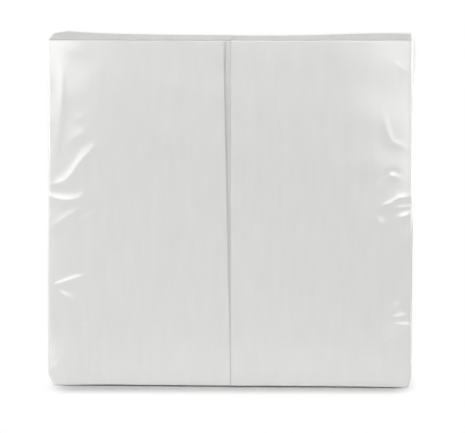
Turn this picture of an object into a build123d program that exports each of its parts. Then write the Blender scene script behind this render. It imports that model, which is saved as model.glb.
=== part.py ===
from build123d import *
import os
from math import sin, sqrt

# A clear-wrapped pack of white paper napkins: two stacks of folded napkins standing side by side
# in one sleeve of film. Millimetres and degrees. +X runs to the right of the pack, +Y to its back
# and +Z up; the floor is z = 0 and the pack is centred over the origin.

# The napkin, a square sheet folded in half three times
sheet_side = 400.0          # open sheet
leaf_thickness = 0.6        # the sheet lying double after the first fold, which runs along the foot
leaf_gap = 0.1              # air between the four leaves of a napkin
fold_offset = 3.2           # the third fold lies this far off the quarter of the sheet, so that two
                            # leaves are wider than a quarter and the two loose ones narrower

# The stacks
napkins_per_stack = 25
napkin_gap = 0.1            # air between neighbouring napkins
edge_stagger = 0.3          # half the width over which napkins stray sideways in their stack
front_skew = 4.0            # the front napkin of the left stack is folded askew: narrower at its head
foot_gap = 0.1              # between the stacks at their feet
parting_offset = 0.5        # inner edge of the right stack, right of the pack's middle

# The film sleeve, closed by a lap seal along the back and a fin seal up each end
film_thickness = 0.05
film_clearance = 0.4        # between the film and the stacks it is drawn round
end_bulge = 0.8             # the gathered ends stand out this far at the seal
gusset_depth = 30.0         # height of the tuck above and below each end seal
seal_flat_width = 14.0      # strip along each end that the fin seal lies on
fin_width = 10.0
fin_end_margin = 4.0        # the fin stops this far inside the strip
lap_width = 12.0

# What follows from them
folded_height = sheet_side / 2
folded_width = sheet_side / 4 + fold_offset
napkin_thickness = 4 * leaf_thickness + 3 * leaf_gap
napkin_pitch = napkin_thickness + napkin_gap
stack_depth = napkins_per_stack * napkin_pitch - napkin_gap
stack_width = folded_width + 2 * edge_stagger

left_foot_x = parting_offset - foot_gap - stack_width
left_reach = -left_foot_x
right_reach = parting_offset + stack_width

wall = film_thickness + film_clearance
wrap_half_width = max(left_reach, right_reach) + wall
wrap_depth = stack_depth + 2 * wall
wrap_height = folded_height + 2 * wall
bend_radius = 3 * film_clearance    # inside of the film where it bends round the stacks' long edges
fin_thickness = 2 * film_thickness
middle_y = -film_thickness / 2      # leaves room for the lap seal inside the pack's depth


# The round outside of a fold between two levels, turning to the left (-1) or the right (+1)
def round_turn(x, start_y, end_y, side):
    radius = abs(end_y - start_y) / 2
    return [ThreePointArc((x, start_y), (x + side * radius, (start_y + end_y) / 2), (x, end_y))]


# The creased inside of a fold: the same half round pressed into three flats
def creased_turn(x, start_y, end_y, side):
    quarter = (end_y - start_y) / 4
    crest = x + side * abs(quarter) * sqrt(3)
    knees = [(crest, start_y + quarter), (crest, end_y - quarter)]
    return [Line((x, start_y), knees[0]), Line(knees[0], knees[1]), Line(knees[1], (x, end_y))]


# Section of a napkin of a given folded width, seen from above. Four leaves lie front to back: the
# third fold is the spine at x = 0, where the outer pair of leaves wraps round the inner pair; the
# second fold joins the two front leaves at the far edge, and the two back leaves end loose there,
# with what is left of the sheet.
def napkin_section(width):
    front = [k * (leaf_thickness + leaf_gap) for k in range(4)]
    back = [y + leaf_thickness for y in front]
    spine_x = napkin_thickness / 2
    fold_x = width - (back[1] - front[0]) / 2
    loose_x = sheet_side / 2 - width
    outline = [Line((spine_x, front[0]), (fold_x, front[0]))]
    outline += round_turn(fold_x, front[0], back[1], 1)
    outline += [Line((fold_x, back[1]), (spine_x, back[1]))]
    outline += [Line((spine_x, back[1]), (spine_x, front[2]))]
    outline += [Line((spine_x, front[2]), (loose_x, front[2]))]
    outline += [Line((loose_x, front[2]), (loose_x, back[2]))]
    outline += [Line((loose_x, back[2]), (spine_x, back[2]))]
    outline += creased_turn(spine_x, back[2], front[1], -1)
    outline += [Line((spine_x, front[1]), (fold_x, front[1]))]
    outline += [Line((fold_x, front[1]), (fold_x, back[0]))]
    outline += [Line((fold_x, back[0]), (spine_x, back[0]))]
    outline += creased_turn(spine_x, back[0], front[3], -1)
    outline += [Line((spine_x, front[3]), (loose_x, front[3]))]
    outline += [Line((loose_x, front[3]), (loose_x, back[3]))]
    outline += [Line((loose_x, back[3]), (spine_x, back[3]))]
    outline += round_turn(spine_x, back[3], front[0], -1)
    return make_face(outline)


# A napkin standing on its foot, narrower at its head by its skew
def standing_napkin(skew):
    foot = napkin_section(folded_width)
    if skew == 0:
        return extrude(foot, folded_height, dir=(0, 0, 1))
    head = Pos(0, 0, folded_height) * napkin_section(folded_width - skew)
    return loft([foot, head], ruled=True)


# Where napkin k of a stack, counted from the front, stands within the stack's own box: strayed a
# little sideways
def napkin_place(k, phase):
    return Pos(edge_stagger * (1 + sin(2.4 * k + phase)), k * napkin_pitch - stack_depth / 2, 0)


# Solid filling the wrap to a given depth below its skin: a box with its long edges rounded, where
# the film bends round the stacks, and an end standing out on either side. Each end is a low hipped
# roof: the front and back panels of film and the tucks above and below them slope up to the strip
# that carries the seal.
def wrap_body(inset):
    half_width = wrap_half_width - inset
    half_depth = wrap_depth / 2 - inset
    half_height = wrap_height / 2 - inset
    radius = bend_radius + film_thickness - inset
    box = Box(2 * half_width, 2 * half_depth, 2 * half_height)
    box = fillet(box.edges().filter_by(Axis.X), radius)
    root_x = half_width - radius
    tip_x = half_width + end_bulge
    root_y = half_depth - radius
    root_z = half_height - radius
    strip_y = seal_flat_width / 2
    strip_z = half_height - gusset_depth
    plan = [(root_x, -root_y), (half_width, -root_y), (tip_x, -strip_y)]
    plan += [(tip_x, strip_y), (half_width, root_y), (root_x, root_y)]
    side = [(root_x, -root_z), (half_width, -root_z), (tip_x, -strip_z)]
    side += [(tip_x, strip_z), (half_width, root_z), (root_x, root_z)]
    roof = extrude(make_face(Polyline(plan, close=True)), half_height, both=True)
    roof &= extrude(make_face(Plane.XZ * Polyline(side, close=True)), half_depth, both=True)
    return box + roof + mirror(roof, about=Plane.YZ)


def film_wrap():
    shell = wrap_body(0) - wrap_body(film_thickness)
    lap = Box(2 * wrap_half_width, film_thickness, lap_width)
    shell += Pos(0, (wrap_depth + film_thickness) / 2, 0) * lap
    fin_height = wrap_height - 2 * (gusset_depth + fin_end_margin)
    fin = Box(fin_thickness, fin_width, fin_height)
    fin_x = wrap_half_width + end_bulge + fin_thickness / 2
    shell += Pos(fin_x, 0, 0) * fin
    shell += Pos(-fin_x, 0, 0) * fin
    return Pos(0, middle_y, wrap_height / 2) * shell


os.makedirs("parts", exist_ok=True)
export_step(film_wrap(), "parts/film_wrap.step")

left_stand = Pos(left_foot_x, middle_y, wall)
right_stand = Pos(parting_offset, middle_y, wall)
for k in range(napkins_per_stack):
    skew_here = front_skew if k == 0 else 0.0
    left = left_stand * napkin_place(k, 0.4) * standing_napkin(skew_here)
    right = right_stand * napkin_place(k, 3.5) * standing_napkin(0.0)
    export_step(left, f"parts/left_napkin_{k + 1:02d}.step")
    export_step(right, f"parts/right_napkin_{k + 1:02d}.step")
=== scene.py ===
import math

import bpy
import numpy as np
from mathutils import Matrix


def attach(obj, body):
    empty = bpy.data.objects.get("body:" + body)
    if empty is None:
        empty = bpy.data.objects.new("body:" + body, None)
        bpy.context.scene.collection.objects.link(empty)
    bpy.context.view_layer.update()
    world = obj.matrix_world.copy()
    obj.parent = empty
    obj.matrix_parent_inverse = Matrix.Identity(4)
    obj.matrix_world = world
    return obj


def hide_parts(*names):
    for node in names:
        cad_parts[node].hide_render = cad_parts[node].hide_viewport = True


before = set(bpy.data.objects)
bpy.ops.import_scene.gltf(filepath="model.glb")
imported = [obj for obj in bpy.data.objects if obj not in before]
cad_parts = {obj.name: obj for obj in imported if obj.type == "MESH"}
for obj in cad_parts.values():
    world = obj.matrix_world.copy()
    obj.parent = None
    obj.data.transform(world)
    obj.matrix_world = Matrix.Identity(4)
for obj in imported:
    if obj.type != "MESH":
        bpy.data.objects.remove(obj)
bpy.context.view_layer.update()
mm = 0.001
rng = np.random.default_rng(40)
print("frame loaded:", len(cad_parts), "nodes")


def linear(hexColour):
    # sRGB to linear light: c / 12.92 near black, ((c + 0.055) / 1.055) ** 2.4 above
    c = np.array([int(hexColour[i:i + 2], 16) for i in (1, 3, 5)]) / 255
    lin = np.where(c <= 0.04045, c / 12.92, ((c + 0.055) / 1.055) ** 2.4)
    return (*lin.tolist(), 1.0)


def addNode(tree, kind, settings=(), links=()):
    # a setting names an input (or its number) or else a property; a link is input -> (node, output)
    node = tree.nodes.new(kind)
    for key, value in dict(settings).items():
        if isinstance(key, int) or key in node.inputs:
            node.inputs[key].default_value = value
        else:
            setattr(node, key, value)
    for key, (source, output) in dict(links).items():
        tree.links.new(source.outputs[output], node.inputs[key])
    return node


def emptyMaterial(name):
    material = bpy.data.materials.new(name)
    material.use_nodes = True
    material.node_tree.nodes.clear()
    return material, material.node_tree


def smoothStep(low, high, value):
    # 0 at low, 1 at high, 3t^2 - 2t^3 between
    t = np.clip((value - low) / (high - low), 0, 1)
    return t * t * (3 - 2 * t)


def ringFaces(count, around, first):
    # quads between neighbouring rings, and one many-sided face closing each end
    index = first + np.arange(count * around).reshape(count, around)
    turned = np.roll(index, -1, 1)
    quads = np.stack([index[:-1], turned[:-1], turned[1:], index[1:]], -1).reshape(-1, 4)
    return quads.tolist() + [index[0][::-1].tolist(), index[-1].tolist()]


def addTube(name, tubes, material, sharpAngle):
    # every tube is an array of rings (count, around, xyz) in millimetres: a profile carried along a
    # path; its faces are turned outwards by the sign of the volume they enclose
    points, faces, first = [], [], 0
    for rings in tubes:
        count, around = rings.shape[:2]
        made = ringFaces(count, around, first)
        flat = rings.reshape(-1, 3)
        middle = flat.mean(0)
        quads = np.array(made[:-2]) - first
        p, q, r, s = (flat[quads[:, i]] - middle for i in range(4))
        inside = (p * np.cross(q, r)).sum() + (p * np.cross(r, s)).sum() < 0
        faces += [face[::-1] for face in made] if inside else made
        points.append(flat)
        first += len(flat)
    mesh = bpy.data.meshes.new(name)
    mesh.from_pydata(np.concatenate(points) * mm, [], faces)
    mesh.polygons.foreach_set("use_smooth", np.ones(len(mesh.polygons), bool))
    mesh.set_sharp_from_angle(angle=math.radians(sharpAngle))
    mesh.materials.append(material)
    piece = bpy.data.objects.new(name, mesh)
    bpy.context.scene.collection.objects.link(piece)
    return piece


# white three-ply tissue, creped and calendered: matt, with a faint cloudiness of the fibres
tissueLook = dict(
    pale="#E1E1DF", shade="#DCDCDA", roughness=0.92, ior=1.45, specular=0.15,
    cloudSize=5.0, cloudDetail=3.0,                         # mm
    drawn=0.2,                                              # five times as far up the web as across it
    fibreSize=1.2, fibreDetail=4.0, fibreRoughness=0.65,    # mm; fibres drawn coarse enough to show
    toneRange=(0.7, 1.3),                                   # both patterns added: darkest, palest
    relief=0.03, bumpStrength=0.35,                         # mm
)


def tissuePaper():
    spec = tissueLook
    material, tree = emptyMaterial("tissuePaperCreped")
    place = addNode(tree, "ShaderNodeTexCoord")
    drawn = addNode(tree, "ShaderNodeMapping", {"Scale": (1.0, 1.0, spec["drawn"])},
                    {"Vector": (place, "Object")})
    cloud = addNode(tree, "ShaderNodeTexNoise",
                    {"Scale": 1 / (spec["cloudSize"] * mm), "Detail": spec["cloudDetail"]},
                    {"Vector": (drawn, "Vector")})
    fibre = addNode(tree, "ShaderNodeTexNoise",
                    {"Scale": 1 / (spec["fibreSize"] * mm), "Detail": spec["fibreDetail"],
                     "Roughness": spec["fibreRoughness"]}, {"Vector": (place, "Object")})
    mixed = addNode(tree, "ShaderNodeMath", {"operation": "ADD"}, {0: (cloud, "Fac"), 1: (fibre, "Fac")})
    low, high = spec["toneRange"]
    tone = addNode(tree, "ShaderNodeMapRange", {1: low, 2: high, 3: 0.0, 4: 1.0}, {0: (mixed, 0)})
    colour = addNode(tree, "ShaderNodeMix",
                     {"data_type": "RGBA", 6: linear(spec["shade"]), 7: linear(spec["pale"])}, {0: (tone, 0)})
    bump = addNode(tree, "ShaderNodeBump",
                   {"Strength": spec["bumpStrength"], "Distance": spec["relief"] * mm},
                   {"Height": (fibre, "Fac")})
    paper = addNode(tree, "ShaderNodeBsdfPrincipled",
                    {"Roughness": spec["roughness"], "IOR": spec["ior"],
                     "Specular IOR Level": spec["specular"]},
                    {"Base Color": (colour, 2), "Normal": (bump, 0)})
    addNode(tree, "ShaderNodeOutputMaterial", {}, {"Surface": (paper, 0)})
    return material


# clear polypropylene film, cast and heat sealed: light goes straight through, and a little is mirrored,
# more of it at a grazing angle
filmLook = dict(
    tint="#FCFCFC", gloss="#FFFFFF", roughness=0.16,
    facing=0.075, grazing=0.45, rise=3.0, blend=0.5,        # share mirrored, and how late it rises
)


def clearFilm():
    spec = filmLook
    material, tree = emptyMaterial("clearFilmCast")
    facing = addNode(tree, "ShaderNodeLayerWeight", {"Blend": spec["blend"]})
    steep = addNode(tree, "ShaderNodeMath", {"operation": "POWER", 1: spec["rise"]}, {0: (facing, "Facing")})
    share = addNode(tree, "ShaderNodeMapRange", {1: 0.0, 2: 1.0, 3: spec["facing"], 4: spec["grazing"]},
                    {0: (steep, 0)})
    through = addNode(tree, "ShaderNodeBsdfTransparent", {"Color": linear(spec["tint"])})
    mirror = addNode(tree, "ShaderNodeBsdfGlossy",
                     {"Color": linear(spec["gloss"]), "Roughness": spec["roughness"]})
    clear = addNode(tree, "ShaderNodeMixShader", {}, {0: (share, 0), 1: (through, 0), 2: (mirror, 0)})
    addNode(tree, "ShaderNodeOutputMaterial", {}, {"Surface": (clear, 0)})
    return material


tissue = tissuePaper()
film = clearFilm()
print("materials made")

# how the soft pack has settled in its wrap, in mm; the film and the paper follow it together;
# a pair is the stretch over which something comes in
settleSpec = dict(
    end=104.75, top=200.9, half=35.0,                   # the tight pack: half width, height, half depth
    leftEnd=0.5, leftSlack=1.3, leftReach=4.5,          # depth lost at the left end: all the way up, more
    rightEnd=0.5, rightSlack=1.0, rightReach=5.0,       # towards the head, and its reach; and at the right
    slackHeight=(80, 180),
    leftWide=2.4, rightWide=1.3, wideReach=22,          # more depth lost, further in from the ends
    leftFull=1.15, leftEase=0.42, easeHeight=(95, 200),     # share of leftWide at the foot, and lost above
    rightHead=3.0, rightHeight=(50, 225), rightHeadReach=30,
    firm=0.3, firmHeight=(0, 40),                       # share of all this that is left on the floor
    head=0.12, headReach=6, foot=0.5, footReach=3,      # depth lost at head and foot
    upper=(120, 200),                                   # height over which the back's changes come in
    backIn=5.0, leanDepth=(0, 36), leanSide=(70, 104),  # the upper back left corner leans in
    leftIn=2.0, rightIn=1.1, inSide=(80, 105),          # width lost at the foot of each end
    inHeight=(8, 0), belly=0.32, bellyHeight=(110, 50),     # and share of it that bulges out above
    sag=-0.45, topDepth=(-36, 8),                       # height of the back edge of the top
    leftEar=2.5, leftEarReach=34, rightEar=1.8, rightEarSide=(20, 98),      # and of its corners
    footRise=0.8, hollowReach=9,                        # hollow under the front edge, less at its ends
    hollowLeft=0.65, hollowLeftSide=(70, 100), hollowRight=0.3, hollowRightSide=(60, 100),
)


def settle(points):
    # depth shrinks by lost / half, and lost adds up amounts that die away exponentially from the ends, the
    # head and the foot; the upper back left corner leans in, both ends narrow at the floor and bulge above
    # it; the back of the top sags in the middle and stands up at its corners; the front foot is hollow
    s = settleSpec
    x, y, z = points[..., 0], points[..., 1], points[..., 2]
    left, right = (s["end"] + x).clip(0), (s["end"] - x).clip(0)
    slack = smoothStep(*s["slackHeight"], z)
    wide = s["leftWide"] * (s["leftFull"] - s["leftEase"] * smoothStep(*s["easeHeight"], z))
    lost = (s["leftEnd"] + s["leftSlack"] * slack) * np.exp(-left / s["leftReach"])
    lost += wide * np.exp(-left / s["wideReach"])
    lost += (s["rightEnd"] + s["rightSlack"] * slack) * np.exp(-right / s["rightReach"])
    lost += s["rightWide"] * np.exp(-right / s["wideReach"])
    lost += s["rightHead"] * smoothStep(*s["rightHeight"], z) * np.exp(-right / s["rightHeadReach"])
    lost *= s["firm"] + (1 - s["firm"]) * smoothStep(*s["firmHeight"], z)
    lost += s["head"] * np.exp(-(s["top"] - z).clip(0) / s["headReach"])
    lost += s["foot"] * np.exp(-z.clip(0) / s["footReach"])
    upper = smoothStep(*s["upper"], z)
    lean = s["backIn"] * smoothStep(*s["leanDepth"], y) * upper * smoothStep(*s["leanSide"], -x)
    ends = s["rightIn"] * smoothStep(*s["inSide"], x) - s["leftIn"] * smoothStep(*s["inSide"], -x)
    bulge = s["belly"] * smoothStep(*s["bellyHeight"], z) - (1 + s["belly"]) * smoothStep(*s["inHeight"], z)
    ears = s["leftEar"] * np.exp(-left / s["leftEarReach"])
    ears += s["rightEar"] * smoothStep(*s["rightEarSide"], x)
    rise = smoothStep(*s["topDepth"], y) * upper * (s["sag"] + ears)
    hollow = 1 - s["hollowLeft"] * smoothStep(*s["hollowLeftSide"], -x)
    hollow = s["footRise"] * (hollow - s["hollowRight"] * smoothStep(*s["hollowRightSide"], x))
    hollow *= np.exp(-((y + s["half"]).clip(0) + z.clip(0)) / s["hollowReach"])
    return np.stack([x + lean + ends * bulge, y * (1 - lost / s["half"]), z + rise + hollow], -1)


# two stacks of napkins, in mm; a napkin's x runs from its spine to its open edges
stackSpec = dict(
    perStack=25, sharpAngle=40,
    folded=(103.2, 200.3), looseWidth=96.8,             # folded napkin, and its two narrower loose leaves
    leaf=0.6, leafGap=0.1, napkinGap=0.1, sheet=0.27,   # sheet: one thickness of the three-ply tissue
    square=0.22,                                        # power of the cosine in a pressed fold
    runPoints=15, spinePoints=12, foldPoints=9,
    outerAt=(0.35, 2, 6, 14, 30, 60, 100, 140, 170, 186, 194, 198),     # points up a leaf
    slitAt=(0.5, 40, 100, 160, 190), ofHeight=200,                      # of this height
    footRound=((0.85, 0.1), (0.5, 0.0), (0.15, 0.1)),   # fold at the foot: share of the leaf, height
    headStep=0.7, headStepRange=(0.4, 1.2),             # the two edges at the head of a leaf differ by this
    headStray=0.35,                                     # and napkins differ up to this much
    stagger=0.3, staggerTurn=2.4, phase=dict(left=0.4, right=3.5),      # napkins stray sideways
    leftOut=1.05, spineEven=0.8,                        # the left spines stand out and stray less
    frontSkew=3.8, skewFrom=22.0, skewRound=12, skewPower=0.85, edgeOut=0.43,   # askew left front napkin
    press=(0.78, 0.3), pressHeight=(30, 170),           # at the parting front napkins lose these shares
    pressSide=dict(left=(66, 98), right=(37, 5)),       # of their thickness, foot and head
    pressFade=3,                                        # napkins behind them come forward by less and less
    nextOut=1.4, openOut=dict(left=-0.1, right=-0.15), openSide=(60, 100),      # open edges stand out or in
    frontWander=0.03, wander=0.15, wanderLength=31, wanderTurn=1.3,     # and wander
    spineClear=1.25,                                    # the right stack's second spine clears nextOut's edge
    footGap=0.1, parting=0.5, floor=0.1, middle=-0.025,
)


def leafPath():
    # centre line of the doubled sheet seen from above, with the normal towards its outer side: back leaf,
    # half round spine, front leaf, half round second fold, second leaf, tight inner spine, third leaf;
    # the last column is 1 on the loose leaves and -1 on those that the second fold joins
    s = stackSpec
    a, g, width = s["leaf"], s["leafGap"], s["folded"][0]
    thick = 4 * a + 3 * g
    spineX, foldX, looseX = thick / 2, width - a - g / 2, s["looseWidth"]
    run = 0.5 - 0.5 * np.cos(np.linspace(0, np.pi, s["runPoints"]))

    def straight(x0, x1, y, side, leaf):
        x = x0 + (x1 - x0) * run
        return np.stack([x, 0 * x + y, 0 * x, 0 * x + side, 0 * x + leaf], -1)

    def turn(x, y, radius, start, end, side, steps, leaf):
        # a half round whose cosine is raised to a low power, so that the pressed fold is nearly square
        t = np.radians(np.linspace(start, end, steps))[1:-1]
        across, along = np.cos(t), np.sin(t)
        across = np.sign(across) * np.abs(across) ** s["square"]
        long = np.hypot(across, along)
        return np.stack([x + radius * across, y + radius * along, side * across / long, side * along / long,
                         0 * t + leaf], -1)

    return np.concatenate([
        straight(looseX, spineX, thick - a / 2, 1, 1),
        turn(spineX, thick / 2, thick / 2 - a / 2, 90, 270, 1, s["spinePoints"], -1),
        straight(spineX, foldX, a / 2, -1, -1),
        turn(foldX, a + g / 2, (a + g) / 2, -90, 90, 1, s["foldPoints"], -1),
        straight(foldX, spineX, a * 1.5 + g, 1, -1),
        turn(spineX, thick / 2, (a + g) / 2, 270, 90, -1, s["foldPoints"], -1),
        straight(spineX, looseX, 2.5 * a + 2 * g, -1, 1),
    ])


def sheetProfile(height, step):
    # the sheet doubled by its first fold, as a loop of (depth through the leaf, height): up the outside,
    # down into the slit, up out of it, down the other side and round the fold at the foot
    s = stackSpec
    a, t = s["leaf"], s["sheet"]
    outer = np.array(s["outerAt"]) / s["ofHeight"] * height
    slit = np.array(s["slitAt"]) / s["ofHeight"] * height
    top, low = height, height - step

    def wall(depth, heights):
        return np.stack([0 * heights + depth, heights], -1)

    return np.concatenate([
        wall(0, outer), [(0, top), (t, top)], wall(t, slit[::-1]), wall(a - t, slit),
        [(a - t, low), (a, low)], wall(a, outer[::-1]), np.array(s["footRound"]) * (a, 1),
    ])


def napkinRings(side, k):
    # ring i, point j = path[i] + normal[i] * (leaf / 2 - depth[j]), raised to height[j]; near the parting
    # depth is pressed forward; an askew second fold narrows the joined leaves and widens the loose ones by
    # frontSkew * (rise / its value at the head) ^ skewPower, where rise is the height above skewFrom,
    # rounded off at its start; the other open edges wander by a sine of the height
    s = stackSpec
    path = leafPath()
    width, height = s["folded"]
    tall = height - rng.uniform(0, 1) * s["headStray"]
    profile = sheetProfile(tall, s["headStep"] * rng.uniform(*s["headStepRange"]))
    off = s["leaf"] / 2 - profile[None, :, 0]
    x = path[:, None, 0] + path[:, None, 2] * off
    y = path[:, None, 1] + path[:, None, 3] * off
    z = np.broadcast_to(profile[None, :, 1], x.shape)
    pitch = 4 * s["leaf"] + 3 * s["leafGap"] + s["napkinGap"]
    stray = s["stagger"] * (1 + math.sin(s["staggerTurn"] * k + s["phase"][side]))
    pressFoot, pressHead = s["press"]
    pressed = pressFoot + (pressHead - pressFoot) * smoothStep(*s["pressHeight"], z)
    pressed = pressed * smoothStep(*s["pressSide"][side], x)
    y = y - pressed * (y if k == 0 else pitch * math.exp((1 - k) / s["pressFade"]))
    if side == "left":
        x = x - (s["leftOut"] + s["spineEven"] * stray) * (1 - x / width)
    if (side, k) == ("left", 0):
        above = np.stack([z, 0 * z + height]) - s["skewFrom"]
        rise = above + np.hypot(above, s["skewRound"])
        skew = path[:, None, 4] * s["frontSkew"] * (rise[0] / rise[1]) ** s["skewPower"]
        x = x + (skew + s["edgeOut"]) * x / width
    else:
        # the left stack's second napkin runs in behind the front one of the right stack
        out = {("left", 1): s["nextOut"], ("right", 0): 0.0}.get((side, k), s["openOut"][side])
        wander = s["frontWander"] if k < 2 else s["wander"]
        out = out + wander * np.sin(z / s["wanderLength"] + s["wanderTurn"] * k)
        x = x + out * smoothStep(*s["openSide"], x)
    if (side, k) == ("right", 1):
        x = x + s["spineClear"] * (1 - x / width)
    y = y + k * pitch - (s["perStack"] * pitch - s["napkinGap"]) / 2 + s["middle"]
    start = s["parting"] if side == "right" else s["parting"] - s["footGap"] - width - 2 * s["stagger"]
    return settle(np.stack([start + stray + x, y, s["floor"] + z], -1))


for side in ("left", "right"):
    for k in range(stackSpec["perStack"]):
        node = f"{side}_napkin_{k + 1:02d}"
        piece = addTube(node + "_sheet", [napkinRings(side, k)], tissue, stackSpec["sharpAngle"])
        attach(piece, "root")
        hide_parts(node)
print("napkins folded:", 2 * stackSpec["perStack"])

# the film sleeve, in mm
filmSpec = dict(
    sharpAngle=60,
    halfDepth=35.35, top=200.85, bend=0.9,              # sleeve round the stacks
    frontPoints=330, topPoints=40, backPoints=64, bottomPoints=26, bendPoints=9,
    end=104.75, endBend=1.6, ridge=104.95,              # ends, gathered to the seal
    plainStations=((0, 60, 16), (60, 74, 8)), creasedFrom=74, creasedStations=46,   # finer at the creases
    endTurn=80, endTurnPoints=8, fallPoints=20, fallPower=0.9,      # bend in degrees, then towards the seal
    slitHalf=0.6, leftTuck=(16.0, 12.0), rightTuck=(6.0, 12.0),     # tucks above and below each seal
    gather=(0.95, 0.3),                                 # share of the section left where the pleats come in
    cornerOut=2.0, cornerHeight=(140, 200),             # slack that stands out at the upper right corner
    cornerDrop=0.7, cornerTop=(192, 201),               # and less at the very top
    rippleRise=0.05, rippleWaves=(8, 18, 46),           # number of waves, shortest, longest
    pleatRise=0.35, pleatWaves=(7, 5, 15), pleatSlant=0.25, pleatEase=0.6,
    frontPower=0.5, backPower=2,                        # how creases and lap fade as the film turns away
    lapWidth=12.0, lapRise=0.15, lapEdge=0.4,
    finWidth=10.0, finThick=0.2, finHeight=132.9, finOff=0.5, finClear=0.25, finPoints=480,
    crimpStep=1.5, crimpRise=0.1,
)

# creases on the front, most of them running in from the ends: broken lines of (x, z), half width and
# height in mm, and lee, how much wider the side to the right of the line's direction is
frontCreases = [
    dict(path=[(-100.4, 117.0), (-94.6, 119.3), (-90.5, 123.4), (-86.4, 129.8), (-83.5, 133.3),
               (-78.2, 138.6)], width=2.4, height=0.44),
    dict(path=[(-103.3, 110.3), (-99.3, 108.8), (-93.5, 108.0), (-88.2, 108.9), (-84.8, 110.9)],
         width=2.0, height=0.34),
    dict(path=[(-104.1, 90.2), (-98.2, 95.4), (-91.2, 100.1), (-85.4, 103.1)], width=2.8, height=0.22),
    dict(path=[(-91.2, 95.5), (-84.2, 100.2), (-76.1, 105.5)], width=2.2, height=-0.14),
    dict(path=[(-101.3, 58.6), (-95.5, 60.4), (-89.1, 62.8), (-83.8, 64.3)], width=1.5, height=0.36),
    dict(path=[(-99.0, 54.8), (-93.2, 51.9), (-88.0, 49.0)], width=1.8, height=0.3),
    dict(path=[(-89.2, 153.6), (-83.3, 157.6)], width=2.6, height=0.07),
    dict(path=[(-91.0, 142.6), (-82.8, 148.4)], width=2.8, height=0.11),
    dict(path=[(-95.9, 184.0), (-96.7, 160.0), (-98.6, 139.0)], width=2.6, height=0.46),
    dict(path=[(-96.4, 196.8), (-87.2, 194.0), (-77.4, 191.1)], width=3.0, height=0.08),
    dict(path=[(-103.4, 7.5), (-99.9, 13.4)], width=1.6, height=0.13),
    dict(path=[(-86.3, 33.5), (-81.1, 35.9)], width=2.4, height=0.2),
    dict(path=[(89.0, 157.1), (91.3, 147.3), (93.6, 142.7), (100.0, 139.9)], width=1.2, height=0.27, lee=3.0),
    dict(path=[(91.4, 123.7), (95.5, 122.5)], width=1.8, height=0.4),
    dict(path=[(85.7, 119.0), (89.1, 123.6), (93.7, 125.4), (97.7, 124.3)], width=1.8, height=-0.25),
    dict(path=[(86.9, 105.1), (93.8, 108.0), (97.3, 110.7), (103.0, 111.0)], width=1.6, height=0.5, lee=1.6),
    dict(path=[(89.8, 104.0), (103.0, 105.2)], width=1.5, height=0.2),
    dict(path=[(96.2, 98.2), (99.6, 99.7), (103.6, 101.4)], width=1.5, height=0.45, lee=1.6),
    dict(path=[(83.5, 98.7), (88.7, 94.7)], width=2.2, height=0.33),
    dict(path=[(94.5, 188.1), (102.6, 182.4)], width=1.2, height=0.19, lee=3.0),
    dict(path=[(105.2, 36.0), (96.5, 37.1), (87.3, 36.5)], width=2.1, height=0.55),
    dict(path=[(101.1, 42.4), (91.9, 40.6)], width=2.2, height=0.5),
    dict(path=[(97.6, 50.0), (90.7, 40.6)], width=2.6, height=0.4),
    dict(path=[(101.2, 34.8), (93.1, 31.2), (86.2, 27.7)], width=1.7, height=-0.3),
    dict(path=[(85.0, 37.0), (77.4, 42.2), (72.8, 44.5)], width=2.0, height=-0.15),
    dict(path=[(-48.5, 0.3), (-44.5, 4.4), (-40.4, 0.9)], width=1.5, height=0.5),
]
creaseShape = dict(power=1.4, fadeFrom=0.06, fadePower=0.7)


def creaseHeight(a, b, path, width, height, lee=1.0):
    # crest over a broken line: height * exp(-(distance / width) ^ power), lee times as wide on the right
    # of the line's direction; a sine of the share of the line passed makes it die away at both ends
    s = creaseShape
    path = np.array(path, float)
    steps = np.hypot(*np.diff(path, axis=0).T)
    total, passed = steps.sum(), 0.0
    best, along, reach = np.full(a.shape, np.inf), np.zeros(a.shape), np.full(a.shape, width)
    for p, q, long in zip(path[:-1], path[1:], steps):
        t = np.clip(((a - p[0]) * (q[0] - p[0]) + (b - p[1]) * (q[1] - p[1])) / long ** 2, 0, 1)
        gap = np.hypot(a - p[0] - t * (q[0] - p[0]), b - p[1] - t * (q[1] - p[1]))
        turned = (q[0] - p[0]) * (b - p[1]) - (q[1] - p[1]) * (a - p[0])
        reach = np.where(gap < best, width * np.where(turned < 0, lee, 1.0), reach)
        along = np.where(gap < best, (passed + t * long) / total, along)
        best = np.minimum(best, gap)
        passed += long
    fade = np.sin(np.pi * (s["fadeFrom"] + (1 - 2 * s["fadeFrom"]) * along)) ** s["fadePower"]
    return height * fade * np.exp(-(best / reach) ** s["power"])


def ripples(a, b, count, short, long):
    # sum of plane waves of random direction, phase and length between short and long mm, about 1 high
    way, phase = rng.uniform(0, np.pi, count), rng.uniform(0, 2 * np.pi, count)
    number = 2 * np.pi / rng.uniform(short, long, count)
    waves = np.sin(a[..., None] * number * np.cos(way) + b[..., None] * number * np.sin(way) + phase)
    return waves.sum(-1) / math.sqrt(count)


def sleeveLoop():
    # once round the sleeve as (y, z): front upwards, top, back downwards, bottom, with a quarter circle
    # of radius bend between each two
    s = filmSpec
    d, top, r = s["halfDepth"], s["top"], s["bend"]
    t = np.radians(np.linspace(0, 90, s["bendPoints"]))[1:-1]
    c, n = r * np.cos(t), r * np.sin(t)
    return np.concatenate([
        np.linspace((-d, r), (-d, top - r), s["frontPoints"]), np.stack([-d + r - c, top - r + n], -1),
        np.linspace((-d + r, top), (d - r, top), s["topPoints"]), np.stack([d - r + n, top - r + c], -1),
        np.linspace((d, top - r), (d, r), s["backPoints"]), np.stack([d - r + c, r - n], -1),
        np.linspace((d - r, 0), (-d + r, 0), s["bottomPoints"]), np.stack([-d + r - n, r - c], -1),
    ])


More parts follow.
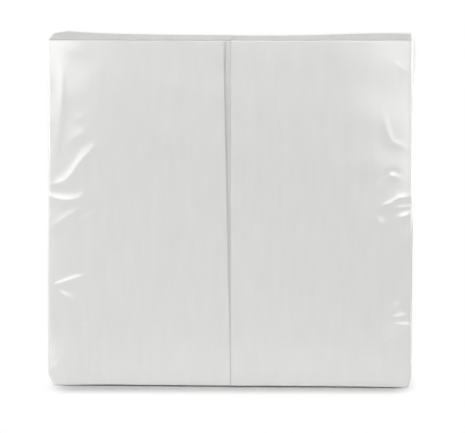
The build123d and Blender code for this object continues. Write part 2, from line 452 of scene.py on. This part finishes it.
def sleeveStations():
    # along one half of the pack, as (x, share of the full section left): the body, a bend round the end,
    # and the gathered end where the section shrinks to the slit of the seal
    s = filmSpec
    flat = s["end"] - s["endBend"]
    body = [np.linspace(*stretch)[:-1] for stretch in s["plainStations"]]
    body = np.concatenate(body + [np.linspace(s["creasedFrom"], flat, s["creasedStations"])])
    turn = np.radians(np.linspace(0, s["endTurn"], s["endTurnPoints"]))[1:]
    bendX = flat + s["endBend"] * np.sin(turn)
    bendShare = 1 - s["endBend"] * (1 - np.cos(turn)) / s["halfDepth"]
    fall = np.linspace(0, 1, s["fallPoints"])[1:]
    endX = bendX[-1] + (s["ridge"] - bendX[-1]) * fall ** s["fallPower"]
    endShare = bendShare[-1] * (1 - fall)
    x = np.concatenate([body, bendX, endX])
    return x, np.concatenate([np.ones_like(body), bendShare, endShare])


def halfSleeve(side):
    # point = ridge point + share * (section point - ridge point), and how far each is gathered
    s = filmSpec
    loop = sleeveLoop()
    x, share = sleeveStations()
    upper, lower = s["rightTuck"] if side > 0 else s["leftTuck"]
    ridgeY = s["slitHalf"] * loop[:, 0] / s["halfDepth"]
    ridgeZ = lower + loop[:, 1] * (s["top"] - upper - lower) / s["top"]
    y = ridgeY + share[:, None] * (loop[:, 0] - ridgeY)
    z = ridgeZ + share[:, None] * (loop[:, 1] - ridgeZ)
    out = x[:, None] + np.zeros_like(y)
    gathered = smoothStep(*s["gather"], share)[:, None]
    if side > 0:
        corner = smoothStep(*s["cornerHeight"], z) * (1 - s["cornerDrop"] * smoothStep(*s["cornerTop"], z))
        out = out + s["cornerOut"] * gathered * corner
    return np.stack([side * out, y, z], -1), np.broadcast_to(gathered, y.shape)


def filmRings():
    # both halves joined in the middle and settled with the paper, then moved out along the surface normal
    # by the sum of the creases, the pleats of the gathered ends, a slight ripple and the lap on the back
    s = filmSpec
    rightHalf, rightGather = halfSleeve(1)
    leftHalf, leftGather = halfSleeve(-1)
    rings = settle(np.concatenate([leftHalf[:0:-1], rightHalf]))
    gathered = np.concatenate([leftGather[:0:-1], rightGather])
    along = np.gradient(rings, axis=0)
    wrapped = np.concatenate([rings[:, -1:], rings, rings[:, :1]], 1)
    normal = np.cross(wrapped[:, 2:] - wrapped[:, :-2], along)
    normal /= np.linalg.norm(normal, axis=-1, keepdims=True).clip(1e-9)
    middle = s["top"] / 2
    normal *= np.sign((normal * (rings - np.array([0, 0, middle]))).sum(-1, keepdims=True))
    x, y, z = rings[..., 0], rings[..., 1], rings[..., 2]
    front = (-normal[..., 1]).clip(0) ** s["frontPower"]
    back = normal[..., 1].clip(0) ** s["backPower"]
    lift = s["rippleRise"] * (1 - gathered) * ripples(x, z + y, *s["rippleWaves"])
    for crease in frontCreases:
        lift = lift + front * creaseHeight(x, z, **crease)
    pleats = ripples(z + s["pleatSlant"] * np.abs(y), 0 * y, *s["pleatWaves"])
    lift = lift + s["pleatRise"] * gathered * (1 - gathered * s["pleatEase"]) * pleats
    lapHalf = s["lapWidth"] / 2
    lift = lift + back * s["lapRise"] * smoothStep(lapHalf + s["lapEdge"], lapHalf, np.abs(z - middle))
    rings = rings + normal * lift[..., None]
    rings[..., 2] = rings[..., 2].clip(0)   # the floor is flat
    return rings


def finRings(side):
    # crimped strip, folded over towards the back and lying on the end: a flat loop carried up the seal
    # and waved in and out by crimpRise * sin(2 pi z / crimpStep)
    s = filmSpec
    across = s["finOff"] + np.array([0, s["finWidth"]])
    up = s["top"] / 2 + np.linspace(-0.5, 0.5, s["finPoints"]) * s["finHeight"]
    slope = (s["ridge"] - s["end"]) / s["halfDepth"]
    inner = s["ridge"] + s["finClear"] - slope * across
    crimp = s["crimpRise"] * np.sin(2 * np.pi * up / s["crimpStep"])
    ys = np.concatenate([across, across[::-1]])
    xs = np.concatenate([inner, inner[::-1] + s["finThick"]])[None, :] + crimp[:, None]
    return np.stack(np.broadcast_arrays(side * xs, ys[None, :], up[:, None]), -1)


sleeve = addTube("film_sleeve", [filmRings(), finRings(-1), finRings(1)], film, filmSpec["sharpAngle"])
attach(sleeve, "root")
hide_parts("film_wrap")
print("film wrapped:", len(sleeve.data.polygons), "faces")


def seenRays(tree):
    # 1 for what the camera sees directly, mirrored or through glass
    rays = addNode(tree, "ShaderNodeLightPath")
    two = addNode(tree, "ShaderNodeMath", {"operation": "MAXIMUM"},
                  {0: (rays, "Is Camera Ray"), 1: (rays, "Is Glossy Ray")})
    return addNode(tree, "ShaderNodeMath", {"operation": "MAXIMUM"},
                   {0: (two, 0), 1: (rays, "Is Transmission Ray")})


# matt white paper sweep: it takes the shadow near the pack and is plain white further off
floorSpec = dict(
    colour="#E4E4E4", half=8000.0,                  # mm
    foot=(90.0, 33.0), turn=-2.0,                   # half sides in mm of the foot, and its turn in degrees
    nearBy=4.0, farOff=32.0, sideways=1.7,          # the shadow ends between these, sooner at the pack's ends
    ahead=(160.0, 215.0), beyond=(1500.0, 3200.0),  # in front, mirrored in the film: left to the lamps
)


def paleFloor():
    # the share of plain white grows from 0 at the foot to 1 away from it; mirrored rays find white only
    # nearer than ahead and further off than beyond
    spec = floorSpec
    material, tree = emptyMaterial("paperSweepMatt")
    place = addNode(tree, "ShaderNodeTexCoord")
    turned = addNode(tree, "ShaderNodeMapping", {"Rotation": (0.0, 0.0, math.radians(spec["turn"]))},
                     {"Vector": (place, "Object")})
    aside = addNode(tree, "ShaderNodeVectorMath", {"operation": "ABSOLUTE"}, {0: (turned, 0)})
    foot = (spec["foot"][0] * mm, spec["foot"][1] * mm, 0.0)
    past = addNode(tree, "ShaderNodeVectorMath", {"operation": "SUBTRACT", 1: foot}, {0: (aside, 0)})
    outside = addNode(tree, "ShaderNodeVectorMath", {"operation": "MAXIMUM", 1: (0.0, 0.0, 0.0)},
                      {0: (past, 0)})
    shaped = addNode(tree, "ShaderNodeVectorMath", {"operation": "MULTIPLY", 1: (spec["sideways"], 1.0, 1.0)},
                     {0: (outside, 0)})
    reach = addNode(tree, "ShaderNodeVectorMath", {"operation": "LENGTH"}, {0: (shaped, 0)})
    away = addNode(tree, "ShaderNodeMapRange",
                   {"interpolation_type": "SMOOTHSTEP", 1: spec["nearBy"] * mm, 2: spec["farOff"] * mm,
                    3: 0.0, 4: 1.0}, {0: (reach, "Value")})
    axes = addNode(tree, "ShaderNodeSeparateXYZ", {}, {0: (place, "Object")})
    ahead = addNode(tree, "ShaderNodeMapRange",
                    {"interpolation_type": "SMOOTHSTEP", 1: -spec["ahead"][1] * mm, 2: -spec["ahead"][0] * mm,
                     3: 0.0, 4: 1.0}, {0: (axes, "Y")})
    beyond = addNode(tree, "ShaderNodeMapRange",
                     {"interpolation_type": "SMOOTHSTEP", 1: -spec["beyond"][1] * mm,
                      2: -spec["beyond"][0] * mm, 3: 1.0, 4: 0.0}, {0: (axes, "Y")})
    either = addNode(tree, "ShaderNodeMath", {"operation": "MAXIMUM"}, {0: (ahead, 0), 1: (beyond, 0)})
    rays = addNode(tree, "ShaderNodeLightPath")
    plain = addNode(tree, "ShaderNodeMath", {"operation": "MAXIMUM"},
                    {0: (either, 0), 1: (rays, "Is Camera Ray")})
    spread = addNode(tree, "ShaderNodeMath", {"operation": "MULTIPLY"}, {0: (away, 0), 1: (plain, 0)})
    share = addNode(tree, "ShaderNodeMath", {"operation": "MULTIPLY"},
                    {0: (spread, 0), 1: (seenRays(tree), 0)})
    matt = addNode(tree, "ShaderNodeBsdfDiffuse", {"Color": linear(spec["colour"])})
    white = addNode(tree, "ShaderNodeEmission", {"Strength": 1.0})
    both = addNode(tree, "ShaderNodeMixShader", {}, {0: (share, 0), 1: (matt, 0), 2: (white, 0)})
    addNode(tree, "ShaderNodeOutputMaterial", {}, {"Surface": (both, 0)})
    return material


half = floorSpec["half"] * mm
corners = [(-half, -half, 0), (half, -half, 0), (half, half, 0), (-half, half, 0)]
floorMesh = bpy.data.meshes.new("floor")
floorMesh.from_pydata(corners, [], [(0, 1, 2, 3)])
floorMesh.materials.append(paleFloor())
floor = bpy.data.objects.new("floor", floorMesh)
bpy.context.scene.collection.objects.link(floor)
print("floor laid")

worldSpec = dict(ambient="#FFFFFF", strength=0.10, shown="#FFFFFF")
world = bpy.data.worlds.new("studio")
bpy.context.scene.world = world
world.use_nodes = True
tree = world.node_tree
tree.nodes.clear()
dim = addNode(tree, "ShaderNodeBackground",
              {"Color": linear(worldSpec["ambient"]), "Strength": worldSpec["strength"]})
white = addNode(tree, "ShaderNodeBackground", {"Color": linear(worldSpec["shown"]), "Strength": 1.0})
shown = addNode(tree, "ShaderNodeMixShader", {}, {0: (seenRays(tree), 0), 1: (dim, 0), 2: (white, 0)})
addNode(tree, "ShaderNodeOutputWorld", {}, {"Surface": (shown, 0)})

# soft boxes: width and height, place and the point aimed at in mm, spread in degrees, power in watts
softBoxes = dict(
    overhead=dict(size=(900, 260), place=(0, 150, 1250), aim=(0, 150, 0), spread=60, power=0.72),
    front=dict(size=(1500, 500), place=(40, -1500, 560), aim=(0, 0, 120), spread=80, power=1.41),
    left=dict(size=(1200, 700), place=(-800, -1250, 380), aim=(0, 0, 100), spread=80, power=2.04),
    right=dict(size=(1100, 700), place=(680, -1250, 380), aim=(0, 0, 100), spread=80, power=1.14),
    leftSide=dict(size=(500, 300), place=(-1000, -200, 180), aim=(0, 0, 100), spread=180, power=3.0),
    rightSide=dict(size=(500, 300), place=(1000, -200, 180), aim=(0, 0, 100), spread=180, power=2.2),
    leftBack=dict(size=(900, 500), place=(-1150, 1000, 300), aim=(0, 0, 100), spread=80, power=1.0),
    rightBack=dict(size=(900, 500), place=(1150, 1000, 300), aim=(0, 0, 100), spread=80, power=1.0),
)


def addSoftBox(name, size, place, aim, spread, power):
    # a lamp shines along its own -Z, so its Z is turned to point away from the aim
    lamp = bpy.data.lights.new(name + "SoftBox", "AREA")
    lamp.shape = "RECTANGLE"
    lamp.size, lamp.size_y = size[0] * mm, size[1] * mm
    lamp.spread, lamp.energy = math.radians(spread), power
    box = bpy.data.objects.new(lamp.name, lamp)
    bpy.context.scene.collection.objects.link(box)
    here, there = np.array(place) * mm, np.array(aim) * mm
    away = (here - there) / np.linalg.norm(here - there)
    box.location = here
    box.rotation_euler = (math.acos(away[2]), 0, math.atan2(away[0], -away[1]))


for name, spec in softBoxes.items():
    addSoftBox(name, **spec)

# camera: place in mm, turn to the left and tilt down in degrees, focal length in pixels of the frame's width
view = dict(place=(85.4, -1800.0, 292.3), turn=2.71, tilt=6.233, focalPixels=3094.0, framePixels=465,
            sensor=36.0, clip=(0.05, 60.0))     # sensor in mm, clip in metres
lens = bpy.data.cameras.new("camera")
lens.sensor_fit, lens.sensor_width = "HORIZONTAL", view["sensor"]
lens.lens = view["focalPixels"] * view["sensor"] / view["framePixels"]
lens.clip_start, lens.clip_end = view["clip"]
camera = bpy.data.objects.new("camera", lens)
camera.location = np.array(view["place"]) * mm
camera.rotation_euler = (math.radians(90 - view["tilt"]), 0, math.radians(view["turn"]))
bpy.context.scene.collection.objects.link(camera)
bpy.context.scene.camera = camera
bpy.context.scene.view_settings.view_transform = "Standard"
print("camera and lights set")
